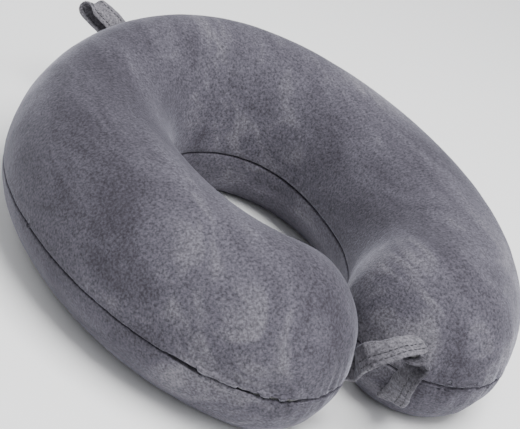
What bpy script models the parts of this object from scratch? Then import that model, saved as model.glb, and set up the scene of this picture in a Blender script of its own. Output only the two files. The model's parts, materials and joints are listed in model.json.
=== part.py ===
"""U shaped travel neck pillow: a moulded foam core in a knitted liner and a zipped velour cover.

Metres, +Z up. The pillow lies on its flat base at z = 0, with the back of the neck at +Y and the mouth of
the U at -Y. The plan follows one centreline, whose angle phi is 0 at the middle of the back and grows
towards the +X arm. Every layer of the pillow is the same surface, set inwards by its depth.
"""

import math

import bmesh
import bpy
from mathutils import Matrix, Vector

# Pillow, outside
HALF_SPAN = 0.145  # from the middle to the outside of an arm
HALF_WIDTH_BACK = 0.042
HALF_WIDTH_SIDE = 0.0493
HALF_WIDTH_TIP = 0.0493
REACH_BACK = 0.107  # centreline, from the middle to the back
REACH_FRONT = 0.1355  # the same half oval's reach to the front, if it went all the way round
PLAN_POWER = 2.15
END_ANGLE = math.radians(149)
TIP_LENGTH = 0.046
TIP_POWER = 2.0
HEIGHT_BACK = 0.106
HEIGHT_SIDE = 0.0915
HEIGHT_TIP = 0.090
WIDEST_Z = 0.038
SEAM_Z = 0.0350
SECTION_POWER = 2.0
CUT_BELOW = 0.010  # how much of the round section the flat base takes away
CENTRE_Y = -0.0142  # puts the middle of the whole length, loop and straps included, at y = 0

# Layers
VELOUR = 0.0022
KNIT = 0.0008
LAYER_GAP = 0.0006
TOUCH_GAP = 0.0003

# Mesh
SIDE_STATIONS = 34
TIP_STATIONS = 6  # even, so that the strips across the tips are four-sided
LOW_LEVELS = (0.0, 0.30, 0.66, 1.0)  # of the height from the base to the seam
HIGH_LEVELS = (0.0, 0.16, 0.32, 0.49, 0.66, 0.82, 0.94)  # of a quarter turn, from the seam to the crown

# Concealed zip in the outer seam of the -X arm
ZIP_FROM = math.radians(-99)
ZIP_TO = math.radians(-141.5)
ZIP_DEPTH = 0.0062  # chain behind the inside of the cover
ZIP_POCKET = 0.0106  # how far the zip presses the liner and the foam in
POCKET_Z = 0.012  # half height of the pocket's full depth; it fades over as much again
POCKET_FADE = math.radians(5)
POCKET_PAST_BACK = math.radians(10)  # room for the puller when the zip is open
TAPE_THICK = 0.0005
TAPE_WIDTH = 0.008
COIL_THICK = 0.0012
COIL_WIDTH = 0.0015
COIL_SPLIT = 0.0005  # from the chain's middle to a coil
SLIDER_LENGTH = 0.008
SLIDER_HEIGHT = 0.007
PLATE_THICK = 0.0008
PLATE_GAP = 0.0010  # from the chain's middle to a plate
WEB_THICK = 0.0004
WEB_LENGTH = 0.002
POST_THICK = 0.0009  # the two posts that hold the puller's bar
POST_LENGTH = 0.0014
BAR_RADIUS = 0.00035
BAR_REACH = 0.00135  # from the slider's outer face to the bar's axis
KNUCKLE_RADIUS = 0.00105
EYE_RADIUS = 0.00065
PULLER_LENGTH = 0.014
PULLER_WIDTH = 0.0026
PULLER_THICK = 0.0008
STOP_LENGTH = 0.002

# Velour tapes. Their routes are lists of points along the middle of the tape, from the sewn end.
STRAP_WIDTH = 0.015
STRAP_THICK = 0.0020
LEFT_ROUTE = (
    (-0.0078, -0.1425, 0.0350),
    (-0.0122, -0.1478, 0.0440),
    (-0.0118, -0.1540, 0.0525),
    (-0.0060, -0.1580, 0.0580),
    (0.0010, -0.1590, 0.0616),
    (0.0070, -0.1590, 0.0620),
    (0.0137, -0.1590, 0.0620),
)
LEFT_ACROSS = ((0.15, 0.30, 0.94), (0.0, 1.0, 0.0))
RIGHT_ROUTE = (
    (0.0190, -0.1482, 0.0160),
    (0.0168, -0.1530, 0.0240),
    (0.0130, -0.1575, 0.0345),
    (0.0125, -0.1600, 0.0440),
    (0.0145, -0.1612, 0.0515),
    (0.0112, -0.1612, 0.0560),
    (0.0055, -0.1612, 0.0565),
    (-0.0005, -0.1612, 0.0565),
)
RIGHT_ACROSS = ((-0.80, 0.60, 0.0), (0.0, 1.0, 0.0))
TWIST_POWER = 3  # a tape takes most of its twist near its sewn end
STRAP_END_LEVEL = 0.050  # the flat ends of both straps lie above this
LOOP_WIDTH = 0.015
LOOP_THICK = 0.0018
LOOP_ROUTE = (
    (0.0000, 0.1512, 0.0368),
    (-0.0030, 0.1607, 0.0420),
    (-0.0130, 0.1722, 0.0530),
    (-0.0250, 0.1822, 0.0640),
    (-0.0350, 0.1900, 0.0700),
    (-0.0385, 0.1930, 0.0680),
    (-0.0360, 0.1920, 0.0640),
    (-0.0250, 0.1850, 0.0560),
    (-0.0130, 0.1760, 0.0450),
    (-0.0030, 0.1630, 0.0360),
    (0.0000, 0.1512, 0.0332),
)

# Snap between the straps
SNAP_PLACE = (0.0055, -0.1601)
SNAP_RADIUS = 0.0045
SNAP_HOLE_RADIUS = 0.0024
SNAP_STUD_RADIUS = 0.0019
SNAP_PLATE = 0.0007
SNAP_SOCKET_HEIGHT = 0.0012
SNAP_STUD_HEIGHT = 0.0004
SNAP_ROOF = 0.0003  # of the socket, over the stud

SHARP = math.radians(40)  # edges past this angle are drawn sharp


def clear_scene():
    for item in list(bpy.data.objects):
        bpy.data.objects.remove(item, do_unlink=True)


def finish(name, colour, roughness, metallic=0.0):
    """A material in the part's plain colour."""
    material = bpy.data.materials.new(name)
    material.use_nodes = True
    shader = material.node_tree.nodes["Principled BSDF"]
    shader.inputs["Base Color"].default_value = (*colour, 1.0)
    shader.inputs["Roughness"].default_value = roughness
    shader.inputs["Metallic"].default_value = metallic
    return material


def add_object(name, mesh_data, material):
    """Closes a bmesh into a named object with its normals outwards."""
    bmesh.ops.recalc_face_normals(mesh_data, faces=mesh_data.faces)
    mesh = bpy.data.meshes.new(name)
    mesh_data.to_mesh(mesh)
    mesh_data.free()
    mesh.materials.append(material)
    mesh.shade_smooth()
    mesh.set_sharp_from_angle(angle=SHARP)
    item = bpy.data.objects.new(name, mesh)
    bpy.context.scene.collection.objects.link(item)
    return item


def empty_at(name, place, turn=None):
    pivot = bpy.data.objects.new(name, None)
    bpy.context.scene.collection.objects.link(pivot)
    pivot.location = place
    pivot.rotation_euler = (turn or Matrix.Identity(4)).to_euler()
    return pivot


def ease(share):
    return 0.5 - 0.5 * math.cos(math.pi * min(max(share, 0.0), 1.0))


def along(phi, back, side, tip):
    """A size that eases from the back to the side and on to the tip."""
    quarter = math.pi / 2
    first = ease(abs(phi) / quarter)
    second = ease((abs(phi) - quarter) / (END_ANGLE - quarter))
    return back + (side - back) * first + (tip - side) * second


def centreline(phi):
    across = HALF_SPAN - HALF_WIDTH_SIDE
    reach = REACH_BACK if math.cos(phi) > 0 else REACH_FRONT
    power = PLAN_POWER
    grow = (abs(math.cos(phi)) ** power + abs(math.sin(phi)) ** power) ** (-1 / power)
    return Vector((across * math.sin(phi) * grow, CENTRE_Y + reach * math.cos(phi) * grow, 0.0))


def heading(phi):
    """Unit vector along the centreline, towards growing phi."""
    step = 1e-4
    return (centreline(phi + step) - centreline(phi - step)).normalized()


def outwards(phi):
    forward = heading(phi)
    return Vector((-forward.y, forward.x, 0.0))


def power_of(value, exponent):
    return math.copysign(abs(value) ** exponent, value)


def plan_points(depth):
    """The plan outline as (foot on the centreline, reach from it, crown height, phi, outer side or not)."""
    points = []

    def side(sign):
        for i in range(SIDE_STATIONS + 1):
            phi = sign * END_ANGLE * (2 * i / SIDE_STATIONS - 1)
            half = along(phi, HALF_WIDTH_BACK, HALF_WIDTH_SIDE, HALF_WIDTH_TIP) - depth
            crown = along(phi, HEIGHT_BACK, HEIGHT_SIDE, HEIGHT_TIP) - depth
            points.append((centreline(phi), outwards(phi) * half * sign, crown, phi, sign > 0))

    def tip(sign):
        phi = sign * END_ANGLE
        half = HALF_WIDTH_TIP - depth
        for i in range(1, TIP_STATIONS + 1):
            turn = math.pi / 2 - sign * math.pi * i / (TIP_STATIONS + 1)
            if sign < 0:
                turn = -math.pi / 2 + math.pi * i / (TIP_STATIONS + 1)
            across = half * power_of(math.sin(turn), 2 / TIP_POWER)
            ahead = (TIP_LENGTH - depth) * power_of(math.cos(turn), 2 / TIP_POWER)
            reach = outwards(phi) * across + heading(phi) * sign * ahead
            points.append((centreline(phi), reach, HEIGHT_TIP - depth, phi, False))

    side(1)
    tip(1)
    side(-1)
    tip(-1)
    return points


def low_spread(height, depth):
    """Share of the half width that the section has at a height below its widest level."""
    fall = (WIDEST_Z - height) / (WIDEST_Z + CUT_BELOW - depth)
    return (1 - max(fall, 0.0) ** SECTION_POWER) ** (1 / SECTION_POWER)


def pocket(phi, level):
    """How far the zip presses a layer in, on the outer side of the -X arm, at a nominal height."""
    inside = min(phi - ZIP_TO, ZIP_FROM + POCKET_PAST_BACK - phi) / POCKET_FADE
    near_seam = (POCKET_Z * 2 - abs(level - SEAM_Z)) / POCKET_Z
    return ZIP_POCKET * ease(inside + 1.25) * ease(near_seam)


def ring(depth, height_of, spread, level, pressed):
    """One closed level curve of a layer. level is the same for the same curve of every layer."""
    points = []
    for foot, reach, crown, phi, outer in plan_points(depth):
        height = height_of(crown)
        place = foot + reach * spread
        if pressed and outer:
            place -= reach.normalized() * pocket(phi, level)
        points.append(Vector((place.x, place.y, height)))
    return points


def low_rings(depth, top, pressed=False):
    """Level curves from the flat base, at the layer's depth, up to the height top."""
    rings = []
    for share in LOW_LEVELS:
        level = SEAM_Z * share
        height = min(max(level, depth), top)
        rings.append(ring(depth, lambda crown: height, low_spread(height, depth), level, pressed))
    return rings


def high_rings(depth, bottom, pressed=False):
    """Level curves from the height bottom up to the last one below the crown."""
    rings = [ring(depth, lambda crown: bottom, low_spread(bottom, depth), SEAM_Z, pressed)]
    for share in HIGH_LEVELS[1:]:
        rise = math.sin(share * math.pi / 2) ** (2 / SECTION_POWER)
        spread = math.cos(share * math.pi / 2) ** (2 / SECTION_POWER)
        level = WIDEST_Z + (HEIGHT_SIDE - WIDEST_Z) * rise
        rings.append(
            ring(depth, lambda crown: WIDEST_Z + (crown - WIDEST_Z) * rise, spread, level, pressed)
        )
    return rings


def skin(mesh_data, rings, close_last):
    """Faces between level curves, and the strip that closes the last one across the arm.

    Every layer splits its faces the same way, so that the gap between layers stays even.
    """
    rising = rings[-1][0].z > rings[0][0].z
    rows = [[mesh_data.verts.new(point) for point in points] for points in rings]
    count = len(rows[0])
    for lower, upper in zip(rows, rows[1:]):
        for i in range(count):
            j = (i + 1) % count
            if rising:
                mesh_data.faces.new((lower[i], lower[j], upper[j]))
                mesh_data.faces.new((lower[i], upper[j], upper[i]))
            else:
                mesh_data.faces.new((lower[i], lower[j], upper[i]))
                mesh_data.faces.new((lower[j], upper[j], upper[i]))
    if close_last:
        close_across(mesh_data, rows[-1])
    return rows


def close_across(mesh_data, row):
    """Joins each outer point to the inner point across the arm, round both tips."""
    far = 2 * SIDE_STATIONS + TIP_STATIONS + 1
    half_tip = TIP_STATIONS // 2
    count = len(row)
    for i in range(-half_tip, SIDE_STATIONS + half_tip):
        a, b = row[i % count], row[(i + 1) % count]
        c, d = row[(far - i - 1) % count], row[(far - i) % count]
        mesh_data.faces.new((a, b, c))
        mesh_data.faces.new((a, c, d))


def half_shell(name, rings_at, edge, depth, thickness, material, pressed=False):
    """A panel with a wall: outer and inner skins joined along the seam's edge."""
    mesh_data = bmesh.new()
    order = 1 if rings_at is high_rings else -1
    outer = skin(mesh_data, rings_at(depth, edge, pressed)[::order], True)
    inner = skin(mesh_data, rings_at(depth + thickness, edge, pressed)[::order], True)
    count = len(outer[0])
    for i in range(count):
        j = (i + 1) % count
        mesh_data.faces.new((outer[0][i], outer[0][j], inner[0][j], inner[0][i]))
    return add_object(name, mesh_data, material)


def foam_core(depth, material):
    mesh_data = bmesh.new()
    low = low_rings(depth, SEAM_Z, True)
    high = high_rings(depth, SEAM_Z, True)
    rows = skin(mesh_data, low[:-1] + high, True)
    close_across(mesh_data, rows[0])
    return add_object("foam_core", mesh_data, material)


def zip_circle():
    """Centre and radius, in plan, of the circle through three points of the cover's inside at the seam."""
    spread = low_spread(SEAM_Z, VELOUR)
    points = []
    for phi in (ZIP_FROM, (ZIP_FROM + ZIP_TO) / 2, ZIP_TO):
        half = along(phi, HALF_WIDTH_BACK, HALF_WIDTH_SIDE, HALF_WIDTH_TIP) - VELOUR
        points.append(centreline(phi) + outwards(phi) * half * spread)
    (ax, ay, _), (bx, by, _), (cx, cy, _) = points
    twice = 2 * (ax * (by - cy) + bx * (cy - ay) + cx * (ay - by))
    square_a, square_b, square_c = ax * ax + ay * ay, bx * bx + by * by, cx * cx + cy * cy
    x = (square_a * (by - cy) + square_b * (cy - ay) + square_c * (ay - by)) / twice
    y = (square_a * (cx - bx) + square_b * (ax - cx) + square_c * (bx - ax)) / twice
    centre = Vector((x, y, SEAM_Z))
    start = math.atan2(ay - y, ax - x) % (2 * math.pi)
    end = math.atan2(cy - y, cx - x) % (2 * math.pi)
    return centre, (points[0] - Vector((x, y, 0))).length, start, end


def box_mesh(mesh_data, low, high):
    """A box from corner to corner, added to a bmesh."""
    low, high = Vector(low), Vector(high)
    place = Matrix.Translation((low + high) / 2) @ Matrix.Diagonal((*(high - low), 1.0))
    return bmesh.ops.create_cube(mesh_data, size=1.0, matrix=place)["verts"]


def arc_bar(name, centre, radius, start, end, thick, low, high, material, steps=26):
    """A bar of rectangular section along a horizontal arc."""
    mesh_data = bmesh.new()
    rows = []
    for i in range(steps + 1):
        turn = start + (end - start) * i / steps
        away = Vector((math.cos(turn), math.sin(turn), 0.0))
        corners = []
        for offset, height in ((-1, low), (1, low), (1, high), (-1, high)):
            place = centre + away * (radius + offset * thick / 2) + Vector((0, 0, height))
            corners.append(mesh_data.verts.new(place))
        rows.append(corners)
    for first, second in zip(rows, rows[1:]):
        for i in range(4):
            j = (i + 1) % 4
            mesh_data.faces.new((first[i], first[j], second[j], second[i]))
    mesh_data.faces.new(rows[0])
    mesh_data.faces.new(rows[-1])
    return add_object(name, mesh_data, material)


def boolean(item, other, operation):
    """Applies an exact Boolean and removes the other object."""
    modifier = item.modifiers.new(operation.lower(), "BOOLEAN")
    modifier.operation = operation
    modifier.object = other
    modifier.solver = "EXACT"
    graph = bpy.context.evaluated_depsgraph_get()
    graph.update()
    mesh = bpy.data.meshes.new_from_object(item.evaluated_get(graph))
    item.modifiers.clear()
    item.data = mesh
    bpy.data.objects.remove(other, do_unlink=True)


def cylinder(name, radius, low, high, material, axis=(0.0, 0.0), segments=16):
    """An upright cylinder between two heights."""
    mesh_data = bmesh.new()
    place = Matrix.Translation((*axis, (low + high) / 2))
    bmesh.ops.create_cone(
        mesh_data,
        cap_ends=True,
        segments=segments,
        radius1=radius,
        radius2=radius,
        depth=high - low,
        matrix=place,
    )
    return add_object(name, mesh_data, material)


def plain_box(name, low, high, material):
    mesh_data = bmesh.new()
    box_mesh(mesh_data, low, high)
    return add_object(name, mesh_data, material)


def build_zip(cloth, nylon, metal):
    """Tapes, coils and stops along the arc, and the slider with its puller.

    The slider is built at local x = radius from its parent empty on the arc's vertical axis, y along the arc.
    """
    centre, inside_radius, start, end = zip_circle()
    radius = inside_radius - ZIP_DEPTH
    coil_top = COIL_SPLIT + COIL_WIDTH
    tape_low = coil_top + TOUCH_GAP
    for side, name in ((1, "upper"), (-1, "lower")):
        low, high = sorted((side * tape_low, side * (tape_low + TAPE_WIDTH)))
        arc_bar(f"zip_tape_{name}", centre, radius, start, end, TAPE_THICK, low, high, cloth)
        low, high = sorted((side * COIL_SPLIT, side * coil_top))
        margin = (STOP_LENGTH + 2 * TOUCH_GAP) / radius
        first, last = start + margin, end - margin
        arc_bar(f"zip_coil_{name}", centre, radius, first, last, COIL_THICK, low, high, nylon)
    stop = STOP_LENGTH / radius
    deep, high = 2 * PLATE_GAP, coil_top
    for name, first in (("back", start), ("front", end - stop)):
        arc_bar(f"zip_stop_{name}", centre, radius, first, first + stop, deep, -high, high, metal, 1)

    rest = end - (STOP_LENGTH + 3 * TOUCH_GAP + SLIDER_LENGTH / 2) / radius
    pivot = empty_at("zip_slider_pivot", centre, Matrix.Rotation(rest, 4, "Z"))
    slider = slider_body(radius, metal)
    slider.parent = pivot
    puller = puller_tab(metal)
    hinge = Vector((radius + bar_offset(), -SLIDER_LENGTH / 4, 0.0))
    puller.parent = pivot
    puller.location = hinge


def bar_offset():
    """From the chain's middle out to the axis that the puller turns on."""
    return PLATE_GAP + PLATE_THICK + BAR_REACH


def slider_body(radius, metal):
    """Two plates round the chain, a web between the coils, and outside it the puller's bar on two posts."""
    half_length, half_height = SLIDER_LENGTH / 2, SLIDER_HEIGHT / 2
    near, far = radius + PLATE_GAP, radius + PLATE_GAP + PLATE_THICK
    deep, back = radius - PLATE_GAP, radius - PLATE_GAP - PLATE_THICK
    slider = plain_box(
        "zip_slider", (near, -half_length, -half_height), (far, half_length, half_height), metal
    )
    plate = plain_box(
        "plate", (back, -half_length, -half_height), (deep, half_length, half_height), metal
    )
    overlap = PLATE_THICK / 2
    web_low = (deep - overlap, half_length - WEB_LENGTH, -WEB_THICK / 2)
    web_high = (near + overlap, half_length, WEB_THICK / 2)
    pieces = [plate, plain_box("web", web_low, web_high, metal)]
    post_low = PULLER_WIDTH / 2 + TOUCH_GAP
    post_top = radius + bar_offset() + 2 * BAR_RADIUS
    bar_y = -SLIDER_LENGTH / 4
    for side in (-1, 1):
        low, high = sorted((side * post_low, side * (post_low + POST_THICK)))
        corner = (far - overlap, bar_y - POST_LENGTH / 2, low)
        pieces.append(plain_box("post", corner, (post_top, bar_y + POST_LENGTH / 2, high), metal))
    reach = post_low + POST_THICK / 2
    place = (radius + bar_offset(), bar_y)
    pieces.append(cylinder("bar", BAR_RADIUS, -reach, reach, metal, place, segments=10))
    for piece in pieces:
        boolean(slider, piece, "UNION")
    return slider


def puller_tab(metal):
    """A knuckle round the slider's bar, and a flat tab that lies back along the zip."""
    half_width, half_thick = PULLER_WIDTH / 2, PULLER_THICK / 2
    start = (KNUCKLE_RADIUS + EYE_RADIUS) / 2
    tab = plain_box(
        "zip_puller",
        (-half_thick, -PULLER_LENGTH, -half_width),
        (half_thick, -start, half_width),
        metal,
    )
    cut = 2 * half_width
    boolean(tab, cylinder("knuckle", KNUCKLE_RADIUS, -half_width, half_width, metal), "UNION")
    boolean(tab, cylinder("eye", EYE_RADIUS, -cut, cut, metal), "DIFFERENCE")
    return tab


def smooth_path(points, per_span=3):
    """Points read from a smooth curve (Catmull-Rom) through the given ones."""
    places = [Vector(point) for point in points]
    places = [2 * places[0] - places[1], *places, 2 * places[-1] - places[-2]]
    path = []
    for i in range(1, len(places) - 2):
        before, here, there, after = places[i - 1 : i + 3]
        for k in range(per_span):
            t = k / per_span
            path.append(
                0.5
                * (
                    2 * here
                    + (there - before) * t
                    + (2 * before - 5 * here + 4 * there - after) * t**2
                    + (3 * here - before - 3 * there + after) * t**3
                )
            )
    path.append(places[-2])
    return path


def tape(name, points, across, width, thick, material):
    """A flat tape along a smooth path. across is its width direction at the first and the last point."""
    path = smooth_path(points)
    mesh_data = bmesh.new()
    rows = []
    last = len(path) - 1
    for i, place in enumerate(path):
        forward = (path[min(i + 1, last)] - path[max(i - 1, 0)]).normalized()
        turned = 1 - (1 - i / last) ** TWIST_POWER
        side = Vector(across[0]).lerp(Vector(across[1]), turned)
        side = (side - forward * side.dot(forward)).normalized()
        up = side.cross(forward)
        corners = []
        for u, v in ((-1, -1), (1, -1), (1, 1), (-1, 1)):
            corner = place + side * u * width / 2 + up * v * thick / 2
            corners.append(mesh_data.verts.new(corner))
        rows.append(corners)
    for first, second in zip(rows, rows[1:]):
        for i in range(4):
            j = (i + 1) % 4
            mesh_data.faces.new((first[i], first[j], second[j], second[i]))
    mesh_data.faces.new(rows[0])
    mesh_data.faces.new(rows[-1])
    return add_object(name, mesh_data, material)


def shifted(route):
    """A route moved along Y with the pillow."""
    return [Vector(point) + Vector((0.0, CENTRE_Y, 0.0)) for point in route]


def hung_tape(name, route, across, width, thick, material):
    """A tape whose parent empty is at its sewn end."""
    points = shifted(route)
    item = tape(name, points, across, width, thick, material)
    pivot = empty_at(f"{name}_pivot", points[0])
    item.data.transform(Matrix.Translation(-points[0]))
    item.parent = pivot
    return item


def hanging_loop(material):
    """The back loop: one tape whose two ends meet at the seam. Its pivot is midway between them."""
    points = shifted(LOOP_ROUTE)
    item = tape("hanging_loop", points, ((-1, 0, 0), (-1, 0, 0)), LOOP_WIDTH, LOOP_THICK, material)
    root = (points[0] + points[-1]) / 2
    item.data.transform(Matrix.Translation(-root))
    item.parent = empty_at("hanging_loop_pivot", root)


def build_snap(left, right, metal):
    """A socket under the left strap's end, and a stud on the right strap's that stands in it."""
    x, y = SNAP_PLACE[0], SNAP_PLACE[1] + CENTRE_Y
    top = min(place.z for place in strap_points(left, x)) - TOUCH_GAP
    mouth = top - SNAP_SOCKET_HEIGHT
    socket = cylinder("snap_socket", SNAP_RADIUS, mouth, top, metal, (x, y))
    hole_low, hole_high = mouth - SNAP_SOCKET_HEIGHT, top - SNAP_ROOF
    hole = cylinder("hole", SNAP_HOLE_RADIUS, hole_low, hole_high, metal, (x, y))
    boolean(socket, hole, "DIFFERENCE")
    base = max(place.z for place in strap_points(right, x)) + TOUCH_GAP
    stud = cylinder("snap_stud", SNAP_RADIUS, base, base + SNAP_PLATE, metal, (x, y))
    post_low, post_high = base + SNAP_PLATE / 2, base + SNAP_PLATE + SNAP_STUD_HEIGHT
    post = cylinder("post", SNAP_STUD_RADIUS, post_low, post_high, metal, (x, y))
    boolean(stud, post, "UNION")
    for item, strap in ((socket, left), (stud, right)):
        pivot = strap.parent
        item.data.transform(Matrix.Translation(-pivot.location))
        item.parent = pivot


def strap_points(strap, x):
    """The corners of a strap's flat end above and below the snap, in world space."""
    places = [vertex.co + strap.parent.location for vertex in strap.data.vertices]
    reach = SNAP_RADIUS + VELOUR
    return [place for place in places if abs(place.x - x) < reach and place.z > STRAP_END_LEVEL]


def main():
    clear_scene()
    velour = finish("grey_velour", (0.105, 0.100, 0.130), 0.95)
    knit = finish("white_knit", (0.75, 0.75, 0.73), 0.90)
    foam = finish("cream_foam", (0.80, 0.74, 0.58), 0.95)
    tape_cloth = finish("dark_zip_tape", (0.05, 0.05, 0.06), 0.85)
    nylon = finish("dark_nylon", (0.04, 0.04, 0.05), 0.45)
    metal = finish("nickel", (0.55, 0.55, 0.56), 0.30, 1.0)

    liner_depth = VELOUR + LAYER_GAP
    foam_depth = liner_depth + KNIT + LAYER_GAP
    above, below = SEAM_Z + TOUCH_GAP, SEAM_Z - TOUCH_GAP
    half_shell("cover_upper_panel", high_rings, above, 0.0, VELOUR, velour)
    half_shell("cover_lower_panel", low_rings, below, 0.0, VELOUR, velour)
    half_shell("liner_upper_half", high_rings, above, liner_depth, KNIT, knit, True)
    half_shell("liner_lower_half", low_rings, below, liner_depth, KNIT, knit, True)
    foam_core(foam_depth, foam)
    build_zip(tape_cloth, nylon, metal)
    left = hung_tape("strap_left", LEFT_ROUTE, LEFT_ACROSS, STRAP_WIDTH, STRAP_THICK, velour)
    right = hung_tape("strap_right", RIGHT_ROUTE, RIGHT_ACROSS, STRAP_WIDTH, STRAP_THICK, velour)
    hanging_loop(velour)
    build_snap(left, right, metal)


main()
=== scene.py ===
"""The looks of a U shaped travel neck pillow: velour cover, straps, hanging loop, zip and what is inside.

Metres. The pillow lies on its flat base at z = 0, with the back of the neck at +Y and the mouth at -Y.
"""

import json
import math

import bpy
from mathutils import Matrix, Vector, kdtree
from mathutils.bvhtree import BVHTree


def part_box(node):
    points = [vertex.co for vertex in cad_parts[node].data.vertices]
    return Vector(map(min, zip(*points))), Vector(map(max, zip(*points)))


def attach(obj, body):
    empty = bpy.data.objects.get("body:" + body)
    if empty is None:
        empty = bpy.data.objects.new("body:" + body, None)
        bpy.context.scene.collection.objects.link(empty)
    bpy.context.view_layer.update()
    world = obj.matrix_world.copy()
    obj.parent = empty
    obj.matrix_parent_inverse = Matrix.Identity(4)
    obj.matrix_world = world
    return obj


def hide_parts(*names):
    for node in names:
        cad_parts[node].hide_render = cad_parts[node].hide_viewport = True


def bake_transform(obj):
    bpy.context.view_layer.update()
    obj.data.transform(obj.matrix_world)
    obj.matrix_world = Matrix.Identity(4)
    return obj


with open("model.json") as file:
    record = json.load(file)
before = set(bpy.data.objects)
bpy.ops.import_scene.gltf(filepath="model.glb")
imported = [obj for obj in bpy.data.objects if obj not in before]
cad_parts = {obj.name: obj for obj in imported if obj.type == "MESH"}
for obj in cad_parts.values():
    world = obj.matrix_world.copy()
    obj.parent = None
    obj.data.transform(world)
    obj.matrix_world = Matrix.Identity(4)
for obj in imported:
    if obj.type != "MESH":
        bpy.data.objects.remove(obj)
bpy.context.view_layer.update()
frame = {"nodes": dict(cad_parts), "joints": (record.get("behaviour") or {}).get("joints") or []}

# Where things are, from the frame
JOINTS = {joint["name"]: joint for joint in frame["joints"]}
SEAM_Z = JOINTS["loop_swing"]["pos_m"][2]
FRONT_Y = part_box("cover_lower_panel")[0].y
ZIP_CENTRE = Vector(JOINTS["zip_travel"]["pos_m"])
SLIDER_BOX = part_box("zip_slider")
SLIDER_PLACE = (SLIDER_BOX[0] + SLIDER_BOX[1]) / 2 - ZIP_CENTRE
ZIP_RADIUS = SLIDER_PLACE.xy.length
ZIP_FRONT = math.atan2(SLIDER_PLACE.y, SLIDER_PLACE.x) % math.tau
ZIP_BACK = ZIP_FRONT + math.radians(JOINTS["zip_travel"]["range_deg"][0])
ZIP_FADE = math.radians(2.5)
ZIP_SIDE = 0.02  # nearer the zip's centre than its radius by this is the inner side of the arm
GAPE_BACK = ZIP_FRONT - math.radians(5.5)  # where the seam gapes, over the zip and on to the tip
GAPE_FRONT = ZIP_FRONT + math.radians(19)
GAPE_FADE = math.radians(5)

# Stuffed form
FORM_GRID = 0.0052  # edge of the form's faces before its one subdivision
FORM_SLACK = 0.0030  # the form starts this much too small and is blown up
FORM_CAP = 0.0048
SETTLE_REACH = 0.0050
SETTLE_ROUNDS = 14
PRESSURE = 4.0
SIM_FRAMES = 20

# Seam round the cover
LIP_RADIUS = 0.0013
LIP_ROWS = 5
SEAM_GAP = 0.00014  # half of it, where the two panels are sewn
ZIP_GAP = 0.0010  # half of it, over the zip
ALLOWANCE = 0.0045
CLOTH_THICK = 0.0016
SNAP_TO_EDGE = 0.0007  # points of the form this near a panel's edge are put on it

# Puckers along the seam; the second of each pair is what the tips add
TIP_DEPTH = 0.052
TIP_FADE = 0.045
PUCKER_REACH = 0.0075
PUCKER_REACH_TIP = 0.0075
PUCKER_DEPTH = 0.00035
PUCKER_DEPTH_TIP = 0.00230
PUCKER_RISE = 0.004
PUCKER_LIMIT = 0.050
BASE_CLEAR = 0.001

# What the cover holds, as depths below its outside
LINER_DEPTH = 0.0026
LINER_THICK = 0.0007
FOAM_DEPTH = 0.0040
POCKET_DEPTH = 0.0095  # that the zip presses into liner and foam
POCKET_HALF = 0.017
POCKET_PAST = math.radians(10)  # past both ends of the zip, for its puller

# Straps and hanging loop: routes along the middle of each tape from its sewn end, before PILLOW_Y is added
LOOP_ROOT_Y = 0.1512
PILLOW_Y = JOINTS["loop_swing"]["pos_m"][1] - LOOP_ROOT_Y
LEFT_ROUTE = (
    (-0.0112, -0.1388, 0.0330),
    (-0.0078, -0.1425, 0.0350),
    (-0.0122, -0.1478, 0.0440),
    (-0.0118, -0.1540, 0.0525),
    (-0.0060, -0.1580, 0.0580),
    (0.0010, -0.1590, 0.0616),
    (0.0070, -0.1590, 0.0620),
    (0.0137, -0.1590, 0.0620),
)
LEFT_ACROSS = ((0.15, 0.30, 0.94), (0.0, 1.0, 0.0))
RIGHT_ROUTE = (
    (0.0212, -0.1440, 0.0150),
    (0.0190, -0.1482, 0.0160),
    (0.0168, -0.1530, 0.0240),
    (0.0130, -0.1575, 0.0345),
    (0.0125, -0.1600, 0.0440),
    (0.0145, -0.1612, 0.0515),
    (0.0112, -0.1612, 0.0560),
    (0.0055, -0.1612, 0.0565),
    (-0.0005, -0.1612, 0.0565),
)
RIGHT_ACROSS = ((-0.80, 0.60, 0.0), (0.0, 1.0, 0.0))
LOOP_ROUTE = (
    (0.0, 0.1462, 0.0356),
    (0.0, 0.1512, 0.0368),
    (-0.0030, 0.1607, 0.0420),
    (-0.0130, 0.1722, 0.0530),
    (-0.0250, 0.1822, 0.0640),
    (-0.0350, 0.1900, 0.0700),
    (-0.0385, 0.1930, 0.0680),
    (-0.0360, 0.1920, 0.0640),
    (-0.0250, 0.1850, 0.0560),
    (-0.0130, 0.1760, 0.0450),
    (-0.0030, 0.1630, 0.0360),
    (0.0, 0.1512, 0.0332),
    (0.0, 0.1462, 0.0344),
)
LOOP_ACROSS = ((-1.0, 0.0, 0.0), (-1.0, 0.0, 0.0))
TWIST_POWER = 3  # a tape takes most of its twist near its sewn end
STRAP_WIDTH = 0.015
STRAP_THICK = 0.0020
LOOP_THICK = 0.0018
STITCH_PITCH = 0.0027
STITCH_LENGTH = 0.0021
STITCH_RADIUS = 0.00030
TAPE_GRID = 0.0010
EDGE_ROUND = 1.6  # how tightly a tape's edges round over, per its thickness
STITCH_VALLEY = 0.0009
STITCH_PRESS = 0.55  # share of the thickness that a stitch takes away


# ---------------------------------------------------------------- tools

def deselect():
    bpy.ops.object.select_all(action="DESELECT")


def only(item):
    """Makes one object the active and the only selected one."""
    deselect()
    item.select_set(True)
    bpy.context.view_layer.objects.active = item


def copy_node(node, name):
    """A free copy of a CAD node with its split corners merged."""
    item = bpy.data.objects.new(name, frame["nodes"][node].data.copy())
    bpy.context.scene.collection.objects.link(item)
    only(item)
    bpy.ops.object.mode_set(mode="EDIT")
    bpy.ops.mesh.select_all(action="SELECT")
    bpy.ops.mesh.remove_doubles(threshold=0.00002)
    bpy.ops.object.mode_set(mode="OBJECT")
    item.data.materials.clear()
    return item


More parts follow.
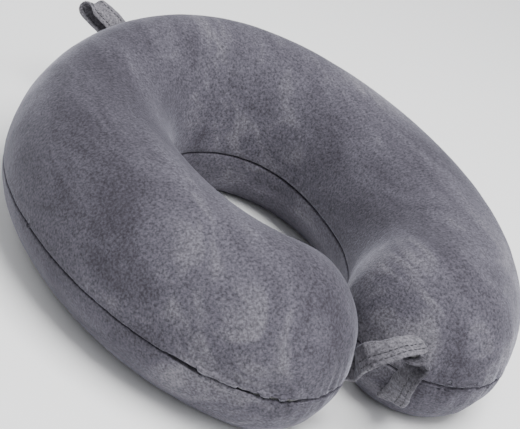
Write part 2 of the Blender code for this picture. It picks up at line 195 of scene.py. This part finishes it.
def copy_of(item, name):
    copy = item.copy()
    copy.data = item.data.copy()
    copy.name = name
    bpy.context.scene.collection.objects.link(copy)
    return copy


def apply_modifier(item, kind, **settings):
    """Adds one modifier with these settings and applies it."""
    only(item)
    modifier = item.modifiers.new(kind.lower(), kind)
    for key, value in settings.items():
        setattr(modifier, key, value)
    bpy.ops.object.modifier_apply(modifier=modifier.name)
    return item


def join(items, name):
    deselect()
    for item in items:
        item.select_set(True)
    bpy.context.view_layer.objects.active = items[0]
    bpy.ops.object.join()
    items[0].name = name
    return items[0]


def smooth(item):
    only(item)
    bpy.ops.object.shade_smooth()
    return item


def wear(item, *materials):
    item.data.materials.clear()
    for material in materials:
        item.data.materials.append(material)
    return item


def ease(share):
    """0 to 1, level at both ends."""
    share = min(max(share, 0.0), 1.0)
    return share * share * (3 - 2 * share)


# ---------------------------------------------------------------- materials

class Surface:
    """A Principled material and the nodes that feed it."""

    def __init__(self, name, roughness, metallic=0.0):
        self.material = bpy.data.materials.new(name)
        self.material.use_nodes = True
        self.nodes = self.material.node_tree.nodes
        self.links = self.material.node_tree.links
        self.shader = self.nodes["Principled BSDF"]
        self.set(self.shader, Roughness=roughness, Metallic=metallic)
        self.place = self.nodes.new("ShaderNodeTexCoord").outputs["Object"]
        self.height = None

    def set(self, node, **values):
        for key, value in values.items():
            node.inputs[key.replace("_", " ")].default_value = value
        return node

    def stretched(self, scale=(1, 1, 1), turn=(0, 0, 0)):
        mapping = self.nodes.new("ShaderNodeMapping")
        mapping.inputs["Scale"].default_value = scale
        mapping.inputs["Rotation"].default_value = turn
        self.links.new(self.place, mapping.inputs["Vector"])
        return mapping.outputs["Vector"]

    def noise(self, scale, detail=3.0, rough=0.55, distort=0.0, place=None):
        node = self.nodes.new("ShaderNodeTexNoise")
        self.set(node, Scale=scale, Detail=detail, Roughness=rough, Distortion=distort)
        self.links.new(place or self.place, node.inputs["Vector"])
        return node.outputs["Fac"]

    def cells(self, scale):
        node = self.nodes.new("ShaderNodeTexVoronoi")
        self.set(node, Scale=scale)
        self.links.new(self.place, node.inputs["Vector"])
        return node.outputs["Distance"]

    def bands(self, scale, direction="X", distort=0.0):
        node = self.nodes.new("ShaderNodeTexWave")
        node.bands_direction = direction
        self.set(node, Scale=scale, Distortion=distort)
        self.links.new(self.place, node.inputs["Vector"])
        return node.outputs["Fac"]

    def sums(self, first, second, operation="ADD"):
        node = self.nodes.new("ShaderNodeMath")
        node.operation = operation
        for socket, value in zip(node.inputs, (first, second)):
            if isinstance(value, (int, float)):
                socket.default_value = value
            else:
                self.links.new(value, socket)
        return node.outputs[0]

    def ramp(self, factor, *stops):
        """Colours or values at their places along a factor."""
        node = self.nodes.new("ShaderNodeValToRGB")
        ramp = node.color_ramp
        while len(ramp.elements) < len(stops):
            ramp.elements.new(0.5)
        for element, (place, colour) in zip(ramp.elements, stops):
            element.position = place
            if isinstance(colour, (int, float)):
                colour = (colour, colour, colour)
            element.color = (*colour, 1.0)
        self.links.new(factor, node.inputs["Fac"])
        return node.outputs["Color"]

    def mix(self, factor, first, second, blend="MIX"):
        node = self.nodes.new("ShaderNodeMix")
        node.data_type = "RGBA"
        node.blend_type = blend
        sockets = {"Factor": 0, "A": 6, "B": 7}
        for key, value in zip(sockets, (factor, first, second)):
            socket = node.inputs[sockets[key]]
            if isinstance(value, (int, float)):
                socket.default_value = value
            elif isinstance(value, tuple):
                socket.default_value = (*value, 1.0)
            else:
                self.links.new(value, socket)
        return node.outputs[2]

    def colour(self, source):
        self.links.new(source, self.shader.inputs["Base Color"])

    def roughness(self, source):
        self.links.new(source, self.shader.inputs["Roughness"])

    def bump(self, source, distance, strength=1.0):
        node = self.nodes.new("ShaderNodeBump")
        self.set(node, Strength=strength, Distance=distance)
        self.links.new(source, node.inputs["Height"])
        if self.height is not None:
            self.links.new(self.height, node.inputs["Normal"])
        self.height = node.outputs["Normal"]
        self.links.new(self.height, self.shader.inputs["Normal"])


def velour(name, dark, mid, light, nap_turn):
    """Short-pile velour: brushed light and dark patches, a fine furry grain and a pale rim."""
    cloth = Surface(name, 0.85)
    cloth.set(cloth.shader, Sheen_Weight=0.36, Sheen_Roughness=0.34)
    cloth.set(cloth.shader, Sheen_Tint=(0.86, 0.86, 1.0, 1.0), Specular_IOR_Level=0.15)
    brushed = cloth.stretched((1.0, 0.30, 0.8), nap_turn)
    broad = cloth.noise(9.0, 2.0, 0.5, 0.6, brushed)
    strokes = cloth.noise(38.0, 4.0, 0.6, 1.2, brushed)
    patches = cloth.sums(cloth.sums(broad, 0.62, "MULTIPLY"), cloth.sums(strokes, 0.38, "MULTIPLY"))
    base = cloth.ramp(patches, (0.38, dark), (0.50, mid), (0.60, light))
    grain = cloth.noise(720.0, 2.0, 0.7)
    speckle = cloth.ramp(grain, (0.30, 0.48), (0.50, 1.0), (0.70, 1.55))
    cloth.colour(cloth.mix(1.0, base, speckle, "MULTIPLY"))
    cloth.bump(strokes, 0.0012, 0.5)
    cloth.bump(cloth.noise(170.0, 3.0, 0.6), 0.0007, 0.22)
    cloth.bump(grain, 0.0005, 0.6)
    return cloth.material


def stitching_thread():
    thread = Surface("grey_stitching_thread", 0.6)
    twist = thread.bands(2200.0, "DIAGONAL", 0.5)
    thread.colour(thread.ramp(twist, (0.2, (0.035, 0.034, 0.042)), (0.9, (0.075, 0.073, 0.086))))
    thread.bump(twist, 0.00008)
    return thread.material


def foam_pores():
    foam = Surface("cream_memory_foam", 0.92)
    pores = foam.cells(620.0)
    blotches = foam.noise(40.0, 3.0)
    tint = foam.ramp(blotches, (0.3, (0.70, 0.62, 0.44)), (0.7, (0.84, 0.78, 0.62)))
    foam.colour(foam.mix(1.0, tint, foam.ramp(pores, (0.05, 0.72), (0.45, 1.0)), "MULTIPLY"))
    foam.bump(pores, 0.0005, 0.7)
    foam.set(foam.shader, Specular_IOR_Level=0.2)
    return foam.material


def jersey_knit():
    knit = Surface("white_jersey_knit", 0.88)
    wales = knit.bands(280.0, "X", 0.3)
    courses = knit.bands(360.0, "Z", 0.3)
    loops = knit.sums(wales, courses, "MULTIPLY")
    shade = knit.ramp(knit.noise(60.0), (0.3, (0.66, 0.66, 0.64)), (0.7, (0.80, 0.80, 0.78)))
    knit.colour(knit.mix(1.0, shade, knit.ramp(loops, (0.0, 0.80), (0.6, 1.0)), "MULTIPLY"))
    knit.bump(loops, 0.0003, 0.6)
    knit.set(knit.shader, Sheen_Weight=0.15, Sheen_Roughness=0.5)
    return knit.material


def zip_tape_weave():
    weave = Surface("dark_woven_zip_tape", 0.8)
    ribs = weave.bands(900.0, "Z")
    picks = weave.cells(1500.0)
    threads = weave.sums(ribs, picks, "ADD")
    weave.colour(weave.ramp(threads, (0.2, (0.030, 0.030, 0.036)), (1.0, (0.075, 0.074, 0.086))))
    weave.bump(threads, 0.00015, 0.6)
    return weave.material


def dark_nylon():
    nylon = Surface("dark_nylon_coil", 0.4)
    drawn = nylon.noise(300.0, 2.0)
    nylon.colour(nylon.ramp(drawn, (0.3, (0.030, 0.030, 0.034)), (0.7, (0.055, 0.055, 0.062))))
    nylon.roughness(nylon.ramp(nylon.noise(900.0), (0.3, 0.32), (0.7, 0.50)))
    nylon.bump(drawn, 0.00005, 0.3)
    return nylon.material


def gunmetal_plate():
    metal = Surface("brushed_gunmetal_plate", 0.3, 1.0)
    drawn = metal.noise(240.0, 4.0, place=metal.stretched((1.0, 1.0, 8.0)))
    metal.colour(metal.ramp(drawn, (0.3, (0.10, 0.10, 0.105)), (0.7, (0.17, 0.17, 0.175))))
    metal.roughness(metal.ramp(drawn, (0.3, 0.24), (0.75, 0.46)))
    metal.bump(metal.noise(1100.0, 3.0), 0.00004, 0.3)
    return metal.material


VELOUR = velour(
    "grey_velour",
    dark=(0.050, 0.046, 0.059),
    mid=(0.086, 0.081, 0.101),
    light=(0.162, 0.155, 0.178),
    nap_turn=(0, 0, 0.5),
)
# Painted light: the velour of the left strap and the loop is the cover velour made lighter, for the light
# that falls on them
LIT_TAPE_VELOUR = velour(
    "grey_velour_tape_painted_light",
    dark=(0.115, 0.110, 0.126),
    mid=(0.185, 0.178, 0.198),
    light=(0.28, 0.27, 0.29),
    nap_turn=(0, 0, 0),
)
# Painted shade: the right strap's velour is a darker copy of the strap velour, for the shade it hangs in
# under the left tip
SHADED_STRAP_VELOUR = velour(
    "painted_shade_velour_tape",
    dark=(0.060, 0.057, 0.068),
    mid=(0.100, 0.096, 0.110),
    light=(0.165, 0.160, 0.176),
    nap_turn=(0, 0, 0),
)
THREAD = stitching_thread()
FOAM = foam_pores()
KNIT = jersey_knit()
ZIP_TAPE = zip_tape_weave()
NYLON = dark_nylon()
GUNMETAL = gunmetal_plate()


# ---------------------------------------------------------------- stuffed form

def largest_part(item):
    """Keeps the outer one of an object's loose parts."""
    only(item)
    bpy.ops.object.mode_set(mode="EDIT")
    bpy.ops.mesh.select_all(action="SELECT")
    bpy.ops.mesh.separate(type="LOOSE")
    bpy.ops.object.mode_set(mode="OBJECT")
    parts = list(bpy.context.selected_objects)
    parts.sort(key=lambda part: part.dimensions.length, reverse=True)
    for part in parts[1:]:
        bpy.data.objects.remove(part, do_unlink=True)
    return parts[0]


def blow_up(item, cap):
    """Pressure inside the closed cloth, then no point further than cap from where it started."""
    start = [vertex.co.copy() for vertex in item.data.vertices]
    cloth = item.modifiers.new("cloth", "CLOTH")
    cloth.settings.use_pressure = True
    cloth.settings.uniform_pressure_force = PRESSURE
    cloth.settings.effector_weights.gravity = 0
    cloth.settings.quality = 5
    for number in range(1, SIM_FRAMES + 1):
        bpy.context.scene.frame_set(number)
    blown = item.evaluated_get(bpy.context.evaluated_depsgraph_get())
    places = [vertex.co.copy() for vertex in blown.data.vertices]
    item.modifiers.clear()
    bpy.context.scene.frame_set(1)
    for vertex, old, new in zip(item.data.vertices, start, places):
        step = new - old
        if step.length > cap:
            step *= cap / step.length
        vertex.co = old + step


def stuffed_form():
    """The closed pillow: cover, liner and foam as one body, remeshed, blown up and subdivided."""
    nodes = ("cover_upper_panel", "cover_lower_panel", "liner_upper_half", "liner_lower_half", "foam_core")
    form = join([copy_node(node, node + "_copy") for node in nodes], "stuffed_form")
    shell = BVHTree.FromObject(form, bpy.context.evaluated_depsgraph_get())
    form.data.remesh_voxel_size = FORM_GRID
    only(form)
    bpy.ops.object.voxel_remesh()
    form = largest_part(form)
    form.name = "stuffed_form"
    apply_modifier(form, "SMOOTH", factor=0.5, iterations=12)
    move_along_normals(form, -FORM_SLACK)
    blow_up(form, FORM_CAP)
    settle_on(form, shell)
    apply_modifier(form, "SUBSURF", levels=1, render_levels=1)
    settle_on(form, shell)
    for vertex in form.data.vertices:
        vertex.co.z = max(vertex.co.z, 0.0)
    return form


def move_along_normals(item, distance):
    for vertex, normal in zip(item.data.vertices, [v.normal.copy() for v in item.data.vertices]):
        vertex.co += normal * distance


def settle_on(form, shell):
    """Brings the form back out to the cover's place in the frame, without taking on its flat facets."""
    mesh = form.data
    normals = [vertex.normal.copy() for vertex in mesh.vertices]
    away = []
    for vertex, normal in zip(mesh.vertices, normals):
        hit = shell.ray_cast(vertex.co + normal * SETTLE_REACH, -normal, 2 * SETTLE_REACH)[0]
        away.append((hit - vertex.co).dot(normal) if hit else 0.0)
    pairs = [tuple(edge.vertices) for edge in mesh.edges]
    for _ in range(SETTLE_ROUNDS):
        total, count = away[:], [1] * len(away)
        for a, b in pairs:
            total[a] += away[b]
            total[b] += away[a]
            count[a] += 1
            count[b] += 1
        away = [value / number for value, number in zip(total, count)]
    for vertex, normal, step in zip(mesh.vertices, normals, away):
        vertex.co += normal * step


def press_pocket(piece):
    """The hollow that the zip presses into what lies behind it."""
    for vertex in piece.data.vertices:
        over_zip = on_arc(vertex.co, ZIP_BACK - POCKET_PAST, ZIP_FRONT + POCKET_PAST, ZIP_FADE)
        if over_zip == 0.0 or abs(vertex.co.z - SEAM_Z) > POCKET_HALF:
            continue
        spoke = vertex.co - ZIP_CENTRE
        spoke.z = 0.0
        fade = ease(2 * (1 - abs(vertex.co.z - SEAM_Z) / POCKET_HALF))
        vertex.co -= spoke.normalized() * POCKET_DEPTH * over_zip * fade


def foam_block(form):
    """The moulded foam inside, with rounded edges."""
    foam = copy_of(form, "moulded_foam")
    move_along_normals(foam, -FOAM_DEPTH)
    press_pocket(foam)
    smooth(wear(foam, FOAM))
    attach(foam, "pillow")
    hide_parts("foam_core")


def liner_half(form, name, side, node):
    """One half of the knitted liner round the foam."""
    liner = copy_of(form, name)
    move_along_normals(liner, -LINER_DEPTH)
    press_pocket(liner)
    only(liner)
    bpy.ops.object.mode_set(mode="EDIT")
    bpy.ops.mesh.select_all(action="SELECT")
    bpy.ops.mesh.bisect(plane_co=(0, 0, SEAM_Z + side * SEAM_GAP), plane_no=(0, 0, side), clear_inner=True)
    bpy.ops.object.mode_set(mode="OBJECT")
    apply_modifier(liner, "SOLIDIFY", thickness=LINER_THICK, offset=-1.0)
    smooth(wear(liner, KNIT))
    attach(liner, "pillow")
    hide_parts(node)


# ---------------------------------------------------------------- cover panels

def on_arc(place, back, front, fade):
    """1 between two turns about the zip's centre, on the arm's outer side, and 0 away from there."""
    spoke = place - ZIP_CENTRE
    if spoke.xy.length < ZIP_RADIUS - ZIP_SIDE:
        return 0.0
    turn = math.atan2(spoke.y, spoke.x) % math.tau
    return ease((turn - back) / fade) * ease((front - turn) / fade)


def border_loop(piece, level):
    """The vertices of a panel's open edge, in order round it."""
    mesh = piece.data
    uses = {}
    for polygon in mesh.polygons:
        for key in polygon.edge_keys:
            uses[key] = uses.get(key, 0) + 1
    near = {}
    for (a, b), count in uses.items():
        if count == 1 and abs(mesh.vertices[a].co.z - level) < 1e-4:
            near.setdefault(a, []).append(b)
            near.setdefault(b, []).append(a)
    first = min(near)
    loop, before = [first], None
    while True:
        here = loop[-1]
        there = [other for other in near[here] if other != before]
        if not there or there[0] == first:
            return loop
        before = here
        loop.append(there[0])
        if len(loop) > len(near):
            return loop


def inwards(places):
    """Level unit vectors into the pillow, one for each place of a closed loop, evened out."""
    count = len(places)
    area = sum(a.x * b.y - b.x * a.y for a, b in zip(places, places[1:] + places[:1]))
    sign = 1 if area > 0 else -1
    turned = []
    for i in range(count):
        along = places[(i + 2) % count] - places[i - 2]
        turned.append(Vector((-along.y, along.x, 0.0)).normalized() * sign)
    return turned


def cut_half(form, name, side):
    """The upper (side 1) or lower (-1) part of the form, open a lip's height from the seam."""
    piece = copy_of(form, name)
    only(piece)
    level = SEAM_Z + side * LIP_RADIUS
    for vertex in piece.data.vertices:
        if abs(vertex.co.z - level) < SNAP_TO_EDGE:
            vertex.co.z = level
    bpy.ops.object.mode_set(mode="EDIT")
    bpy.ops.mesh.select_all(action="SELECT")
    bpy.ops.mesh.bisect(
        plane_co=(0, 0, level),
        plane_no=(0, 0, side),
        clear_inner=True,
        threshold=0.00005,
    )
    bpy.ops.object.mode_set(mode="OBJECT")
    return piece, level


def finder(places):
    """A search tree that gives the number of the nearest of some places."""
    tree = kdtree.KDTree(len(places))
    for number, place in enumerate(places):
        tree.insert(place, number)
    tree.balance()
    return tree


def roll_edge(piece, level, side):
    """Rolls the open edge in towards the seam in rows, and turns in the seam allowance."""
    loop = border_loop(piece, level)
    places = [piece.data.vertices[i].co.copy() for i in loop]
    inward = inwards(places)
    rows = []
    for step in range(1, LIP_ROWS + 1):
        turn = math.pi / 2 * step / LIP_ROWS
        rows.append((LIP_RADIUS * (1 - math.cos(turn)), LIP_RADIUS * math.sin(turn)))
    rows.append((LIP_RADIUS + ALLOWANCE, LIP_RADIUS))
    only(piece)
    bpy.ops.object.mode_set(mode="EDIT")
    bpy.ops.mesh.select_mode(type="VERT")
    bpy.ops.mesh.select_all(action="DESELECT")
    bpy.ops.object.mode_set(mode="OBJECT")
    for index in loop:
        piece.data.vertices[index].select = True
    row_before = finder(places)
    for depth, fall in rows:
        bpy.ops.object.mode_set(mode="EDIT")
        bpy.ops.mesh.select_mode(type="EDGE")
        bpy.ops.mesh.extrude_edges_move()
        bpy.ops.mesh.select_mode(type="VERT")
        bpy.ops.object.mode_set(mode="OBJECT")
        for vertex in piece.data.vertices:
            if not vertex.select:
                continue
            number = row_before.find(Vector((vertex.co.x, vertex.co.y, level)))[1]
            gaping = on_arc(places[number], GAPE_BACK, GAPE_FRONT, GAPE_FADE)
            gap = SEAM_GAP + (ZIP_GAP - SEAM_GAP) * gaping
            spot = places[number] + inward[number] * depth
            reach = fall * (LIP_RADIUS - gap) / LIP_RADIUS
            vertex.co = Vector((spot.x, spot.y, level - side * reach))
        row_before = finder([place + way * depth for place, way in zip(places, inward)])
    return places


def pucker(run, total):
    """How far the sewing pulls the cloth in at a place along the seam: narrow valleys, broad ridges."""
    share = run / total * math.tau
    wander = 0.9 * math.sin(7 * share + 0.8) + 0.6 * math.sin(17 * share + 2.1)
    fine = abs(math.sin(86 * share + 2.2 * wander)) ** 0.7
    broad = abs(math.sin(31 * share + 1.5 * wander + 0.4)) ** 0.8
    return 1 - 0.62 * fine - 0.38 * broad


def near_front(place):
    """1 at the tips of the arms, 0 along their sides and back."""
    return ease((FRONT_Y + TIP_DEPTH - place.y) / TIP_FADE)


def press_puckers(piece, side, loop):
    """Gathers along the seam, deep round the tips and faint elsewhere. loop is the lip's outer edge."""
    runs = [0.0]
    for a, b in zip(loop, loop[1:]):
        runs.append(runs[-1] + (b - a).length)
    total = runs[-1] + (loop[0] - loop[-1]).length
    nearest = finder(loop)
    normals = [vertex.normal.copy() for vertex in piece.data.vertices]
    for vertex, normal in zip(piece.data.vertices, normals):
        place, number, away = nearest.find(vertex.co)
        if away > PUCKER_LIMIT or vertex.co.z < BASE_CLEAR:
            continue
        turned_in = (vertex.co.z - SEAM_Z) * side < LIP_RADIUS * 0.5
        if turned_in and away > LIP_RADIUS * 1.2:
            continue
        front = near_front(place)
        reach = PUCKER_REACH + PUCKER_REACH_TIP * front
        depth = PUCKER_DEPTH + PUCKER_DEPTH_TIP * front
        fade = math.exp(-((away / reach) ** 1.4))
        rise = ease(away / PUCKER_RISE + 0.45)
        vertex.co -= normal * depth * pucker(runs[number], total) * fade * rise


def cover_panel(form, name, side, node):
    """One velour panel: cut from the form, rolled in at its edge, puckered and given its thickness."""
    piece, level = cut_half(form, name, side)
    loop = roll_edge(piece, level, side)
    only(piece)
    bpy.ops.object.mode_set(mode="EDIT")
    bpy.ops.mesh.select_all(action="SELECT")
    bpy.ops.mesh.normals_make_consistent(inside=False)
    bpy.ops.object.mode_set(mode="OBJECT")
    press_puckers(piece, side, loop)
    apply_modifier(piece, "SOLIDIFY", thickness=CLOTH_THICK, offset=-1.0)
    smooth(piece)
    wear(piece, VELOUR)
    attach(piece, "pillow")
    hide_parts(node)


# ---------------------------------------------------------------- straps and loop

def smooth_path(points, per_span=16):
    """Places along a smooth curve (Catmull-Rom) through the given ones."""
    places = [Vector(point) for point in points]
    places = [2 * places[0] - places[1], *places, 2 * places[-1] - places[-2]]
    path = []
    for i in range(1, len(places) - 2):
        before, here, there, after = places[i - 1 : i + 3]
        for k in range(per_span):
            t = k / per_span
            bend = 2 * before - 5 * here + 4 * there - after
            twist = 3 * here - before - 3 * there + after
            path.append(here + 0.5 * ((there - before) * t + bend * t**2 + twist * t**3))
    path.append(places[-2])
    return path


class Route:
    """A smooth line in space with a tape's width direction along it."""

    def __init__(self, points, across):
        self.path = [place + Vector((0.0, PILLOW_Y, 0.0)) for place in smooth_path(points)]
        self.runs = [0.0]
        for a, b in zip(self.path, self.path[1:]):
            self.runs.append(self.runs[-1] + (b - a).length)
        self.length = self.runs[-1]
        self.across = [Vector(direction) for direction in across]

    def at(self, run):
        """Place, forward, side and up at a distance along the route."""
        last = len(self.path) - 1
        i = 0
        while i < last - 1 and self.runs[i + 1] < run:
            i += 1
        span = self.runs[i + 1] - self.runs[i]
        share = min(max((run - self.runs[i]) / span, 0.0), 1.0)
        place = self.path[i].lerp(self.path[i + 1], share)
        before = self.path[max(i - 1, 0) + 1] - self.path[max(i - 1, 0)]
        after = self.path[min(i + 2, last)] - self.path[min(i + 1, last - 1)]
        forward = before.lerp(after, share).normalized()
        turned = 1 - (1 - min(max(run / self.length, 0.0), 1.0)) ** TWIST_POWER
        side = self.across[0].lerp(self.across[1], turned)
        side = (side - forward * side.dot(forward)).normalized()
        return place, forward, side, side.cross(forward)

    def lay(self, piece):
        """Bends a piece that was made flat, along x, on to the route."""
        for vertex in piece.data.vertices:
            place, _, side, up = self.at(vertex.co.x)
            vertex.co = place + side * vertex.co.y + up * vertex.co.z
        return piece


def ripple(x, y):
    """Slight waves that keep a tape from lying quite flat."""
    return 0.00022 * math.sin(x * 410 + 1.3) + 0.00016 * math.sin(x * 930 + y * 300)


def flat_tape(name, length, width, thick, rows, end_radius):
    """A doubled velour tape lying flat along x, pressed down where its rows of stitches run."""
    deselect()
    bpy.ops.mesh.primitive_cube_add(size=1.0, location=(length / 2, 0, 0))
    tape = bpy.context.active_object
    tape.name = name
    bpy.ops.object.mode_set(mode="EDIT")
    bpy.ops.transform.resize(value=(length, width, thick))
    bpy.ops.object.mode_set(mode="OBJECT")
    bpy.ops.object.transform_apply(location=True, rotation=False, scale=False)
    cut_across(tape, round(length / TAPE_GRID), 0)
    cut_across(tape, round(width / TAPE_GRID), 1)
    for vertex in tape.data.vertices:
        x, y, z = vertex.co
        edge = (width / 2 - abs(y)) / thick
        crown = math.sqrt(max(1 - max(1 - EDGE_ROUND * edge, 0.0) ** 2, 0.0))
        end = max(x - (length - end_radius), 0.0) / end_radius if end_radius else 0.0
        narrow = math.sqrt(max(1 - min(end, 0.985) ** 2, 0.0))
        press = 0.0
        for row in rows:
            beat = 0.72 + 0.28 * math.cos(math.tau * x / STITCH_PITCH)
            press = max(press, math.exp(-(((y - row * width) / STITCH_VALLEY) ** 2)) * beat)
        last = 1.0
        if end_radius:
            last = math.sqrt(max(1 - max(1 - (length - x) / thick * EDGE_ROUND, 0.0) ** 2, 0.0))
        full = max(crown * (1 - STITCH_PRESS * press) * max(last, 0.25), 0.12)
        vertex.co = Vector((x, y * narrow, z * full + ripple(x, y)))
    apply_modifier(tape, "SUBSURF", levels=1, render_levels=1)
    return smooth(tape)


def cut_across(item, count, axis):
    """Subdivides the edges that run along one axis."""
    only(item)
    mesh = item.data
    bpy.ops.object.mode_set(mode="EDIT")
    bpy.ops.mesh.select_mode(type="EDGE")
    bpy.ops.mesh.select_all(action="DESELECT")
    bpy.ops.object.mode_set(mode="OBJECT")
    for edge in mesh.edges:
        a, b = (mesh.vertices[i].co for i in edge.vertices)
        run = b - a
        edge.select = abs(run[axis]) > 0.9 * run.length
    bpy.ops.object.mode_set(mode="EDIT")
    bpy.ops.mesh.subdivide(number_cuts=count - 1)
    bpy.ops.object.mode_set(mode="OBJECT")


def stitch_rows(name, width, thick, rows, start, end):
    """Rows of stitches on both faces of a flat tape."""
    deselect()
    bpy.ops.mesh.primitive_uv_sphere_add(segments=8, ring_count=6, radius=1.0, location=(0, 0, 0))
    stitch = bpy.context.active_object
    bpy.ops.object.mode_set(mode="EDIT")
    bpy.ops.transform.resize(value=(STITCH_LENGTH / 2, STITCH_RADIUS, STITCH_RADIUS))
    bpy.ops.object.mode_set(mode="OBJECT")
    count = int((end - start) / STITCH_PITCH)
    copies = []
    for row in rows:
        for face in (-1, 1):
            for k in range(count):
                one = copy_of(stitch, "stitch")
                lean = 0.00012 * math.sin(k * 2.4 + row * 30)
                x = start + (k + 0.5) * STITCH_PITCH
                height = face * (thick / 2 * 0.80 + STITCH_RADIUS * 0.5)
                spot = Vector((x, row * width + lean, height + ripple(x, row * width)))
                one.data.transform(Matrix.Translation(spot))
                copies.append(one)
    bpy.data.objects.remove(stitch, do_unlink=True)
    return smooth(wear(join(copies, name), THREAD))


def sewn_strap(name, body, points, across, thick, rows, end_radius, stitched, cloth):
    """One strap with its stitches, bent where it leaves the seam, in the direction leaves or its own."""
    route = Route(points, across)
    tape = route.lay(flat_tape(name, route.length, STRAP_WIDTH, thick, rows, end_radius))
    wear(tape, cloth)
    start, end = stitched[0] * route.length, stitched[1] * route.length
    thread = stitch_rows(name + "_stitches", STRAP_WIDTH, thick, rows, start, end)
    route.lay(thread)
    for piece in (tape, thread):
        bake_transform(piece)
    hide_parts(body)


# ---------------------------------------------------------------- studio

CAMERA_TURN = math.radians(-36.6)
CAMERA_RISE = math.radians(28.1)
CAMERA_ROLL = math.radians(19.9)
CAMERA_AWAY = 0.797
CAMERA_AIM = Vector((-0.009, -0.022 + PILLOW_Y, 0.048))
LENS = 97.3
FLOOR_SIZE = 12.0
FLOOR_GAP = 0.0002
LIGHTS_AIM = Vector((0, -0.02, 0.05))


def studio_camera():
    data = bpy.data.cameras.new("camera")
    data.lens = LENS
    camera = bpy.data.objects.new("camera", data)
    bpy.context.scene.collection.objects.link(camera)
    level = math.cos(CAMERA_RISE)
    back = Vector((math.sin(CAMERA_TURN) * level, -math.cos(CAMERA_TURN) * level, math.sin(CAMERA_RISE)))
    right = (-back).cross(Vector((0, 0, 1))).normalized()
    up = right.cross(-back)
    tilted = right * math.cos(CAMERA_ROLL) + up * math.sin(CAMERA_ROLL)
    top = up * math.cos(CAMERA_ROLL) - right * math.sin(CAMERA_ROLL)
    place = Matrix((tilted, top, back)).transposed().to_4x4()
    place.translation = CAMERA_AIM + back * CAMERA_AWAY
    camera.matrix_world = place
    bpy.context.scene.camera = camera


def softbox(name, place, size, power):
    data = bpy.data.lights.new(name, "AREA")
    data.shape = "RECTANGLE"
    data.size, data.size_y = size
    data.energy = power
    lamp = bpy.data.objects.new(name, data)
    bpy.context.scene.collection.objects.link(lamp)
    lamp.location = place
    lamp.rotation_euler = (LIGHTS_AIM - Vector(place)).to_track_quat("-Z", "Y").to_euler()


def studio():
    deselect()
    bpy.ops.mesh.primitive_plane_add(size=FLOOR_SIZE, location=(0, 0, -FLOOR_GAP))
    floor = bpy.context.active_object
    floor.name = "floor"
    paper = Surface("pale_paper_floor", 0.9)
    paper.colour(paper.ramp(paper.noise(3.0), (0.0, (0.96, 0.96, 0.96)), (1.0, (0.98, 0.98, 0.98))))
    floor.data.materials.append(paper.material)
    world = bpy.data.worlds.new("studio")
    world.use_nodes = True
    world.node_tree.nodes["Background"].inputs["Color"].default_value = (0.95, 0.97, 1.0, 1.0)
    world.node_tree.nodes["Background"].inputs["Strength"].default_value = 0.50
    bpy.context.scene.world = world
    softbox("high_softbox", (0.15, -0.45, 1.4), (0.9, 0.9), 38.0)
    softbox("front_softbox", (0.5, -1.3, 0.9), (0.9, 0.9), 6.0)
    softbox("back_softbox", (-0.6, 1.2, 0.9), (1.0, 0.8), 6.0)


def main():
    studio()
    studio_camera()
    form = stuffed_form()
    cover_panel(form, "velour_cover_upper", 1, "cover_upper_panel")
    cover_panel(form, "velour_cover_lower", -1, "cover_lower_panel")
    liner_half(form, "knit_liner_upper", 1, "liner_upper_half")
    liner_half(form, "knit_liner_lower", -1, "liner_lower_half")
    foam_block(form)
    bpy.data.objects.remove(form, do_unlink=True)
    # The left strap and the hanging loop wear the lighter velour copy, which is painted light
    sewn_strap(
        "velour_strap_left", "strap_left", LEFT_ROUTE, LEFT_ACROSS,
        STRAP_THICK, (-0.06, -0.30), 0.0060, (0.30, 0.96), LIT_TAPE_VELOUR,
    )
    # The right strap wears the darker velour copy, which is painted shade
    sewn_strap(
        "velour_strap_right", "strap_right", RIGHT_ROUTE, RIGHT_ACROSS,
        STRAP_THICK, (-0.34, -0.10), 0.0050, (0.12, 0.96), SHADED_STRAP_VELOUR,
    )
    sewn_strap(
        "velour_hanging_loop", "hanging_loop", LOOP_ROUTE, LOOP_ACROSS,
        LOOP_THICK, (0.30, -0.30), 0.0, (0.10, 0.90), LIT_TAPE_VELOUR,
    )
    for node, material in (
        ("zip_tape_upper", ZIP_TAPE), ("zip_tape_lower", ZIP_TAPE),
        ("zip_coil_upper", NYLON), ("zip_coil_lower", NYLON),
        ("zip_stop_front", GUNMETAL), ("zip_stop_back", GUNMETAL),
        ("zip_slider", GUNMETAL), ("zip_puller", GUNMETAL),
        ("snap_socket", GUNMETAL), ("snap_stud", GUNMETAL),
    ):
        wear(frame["nodes"][node], material)


main()
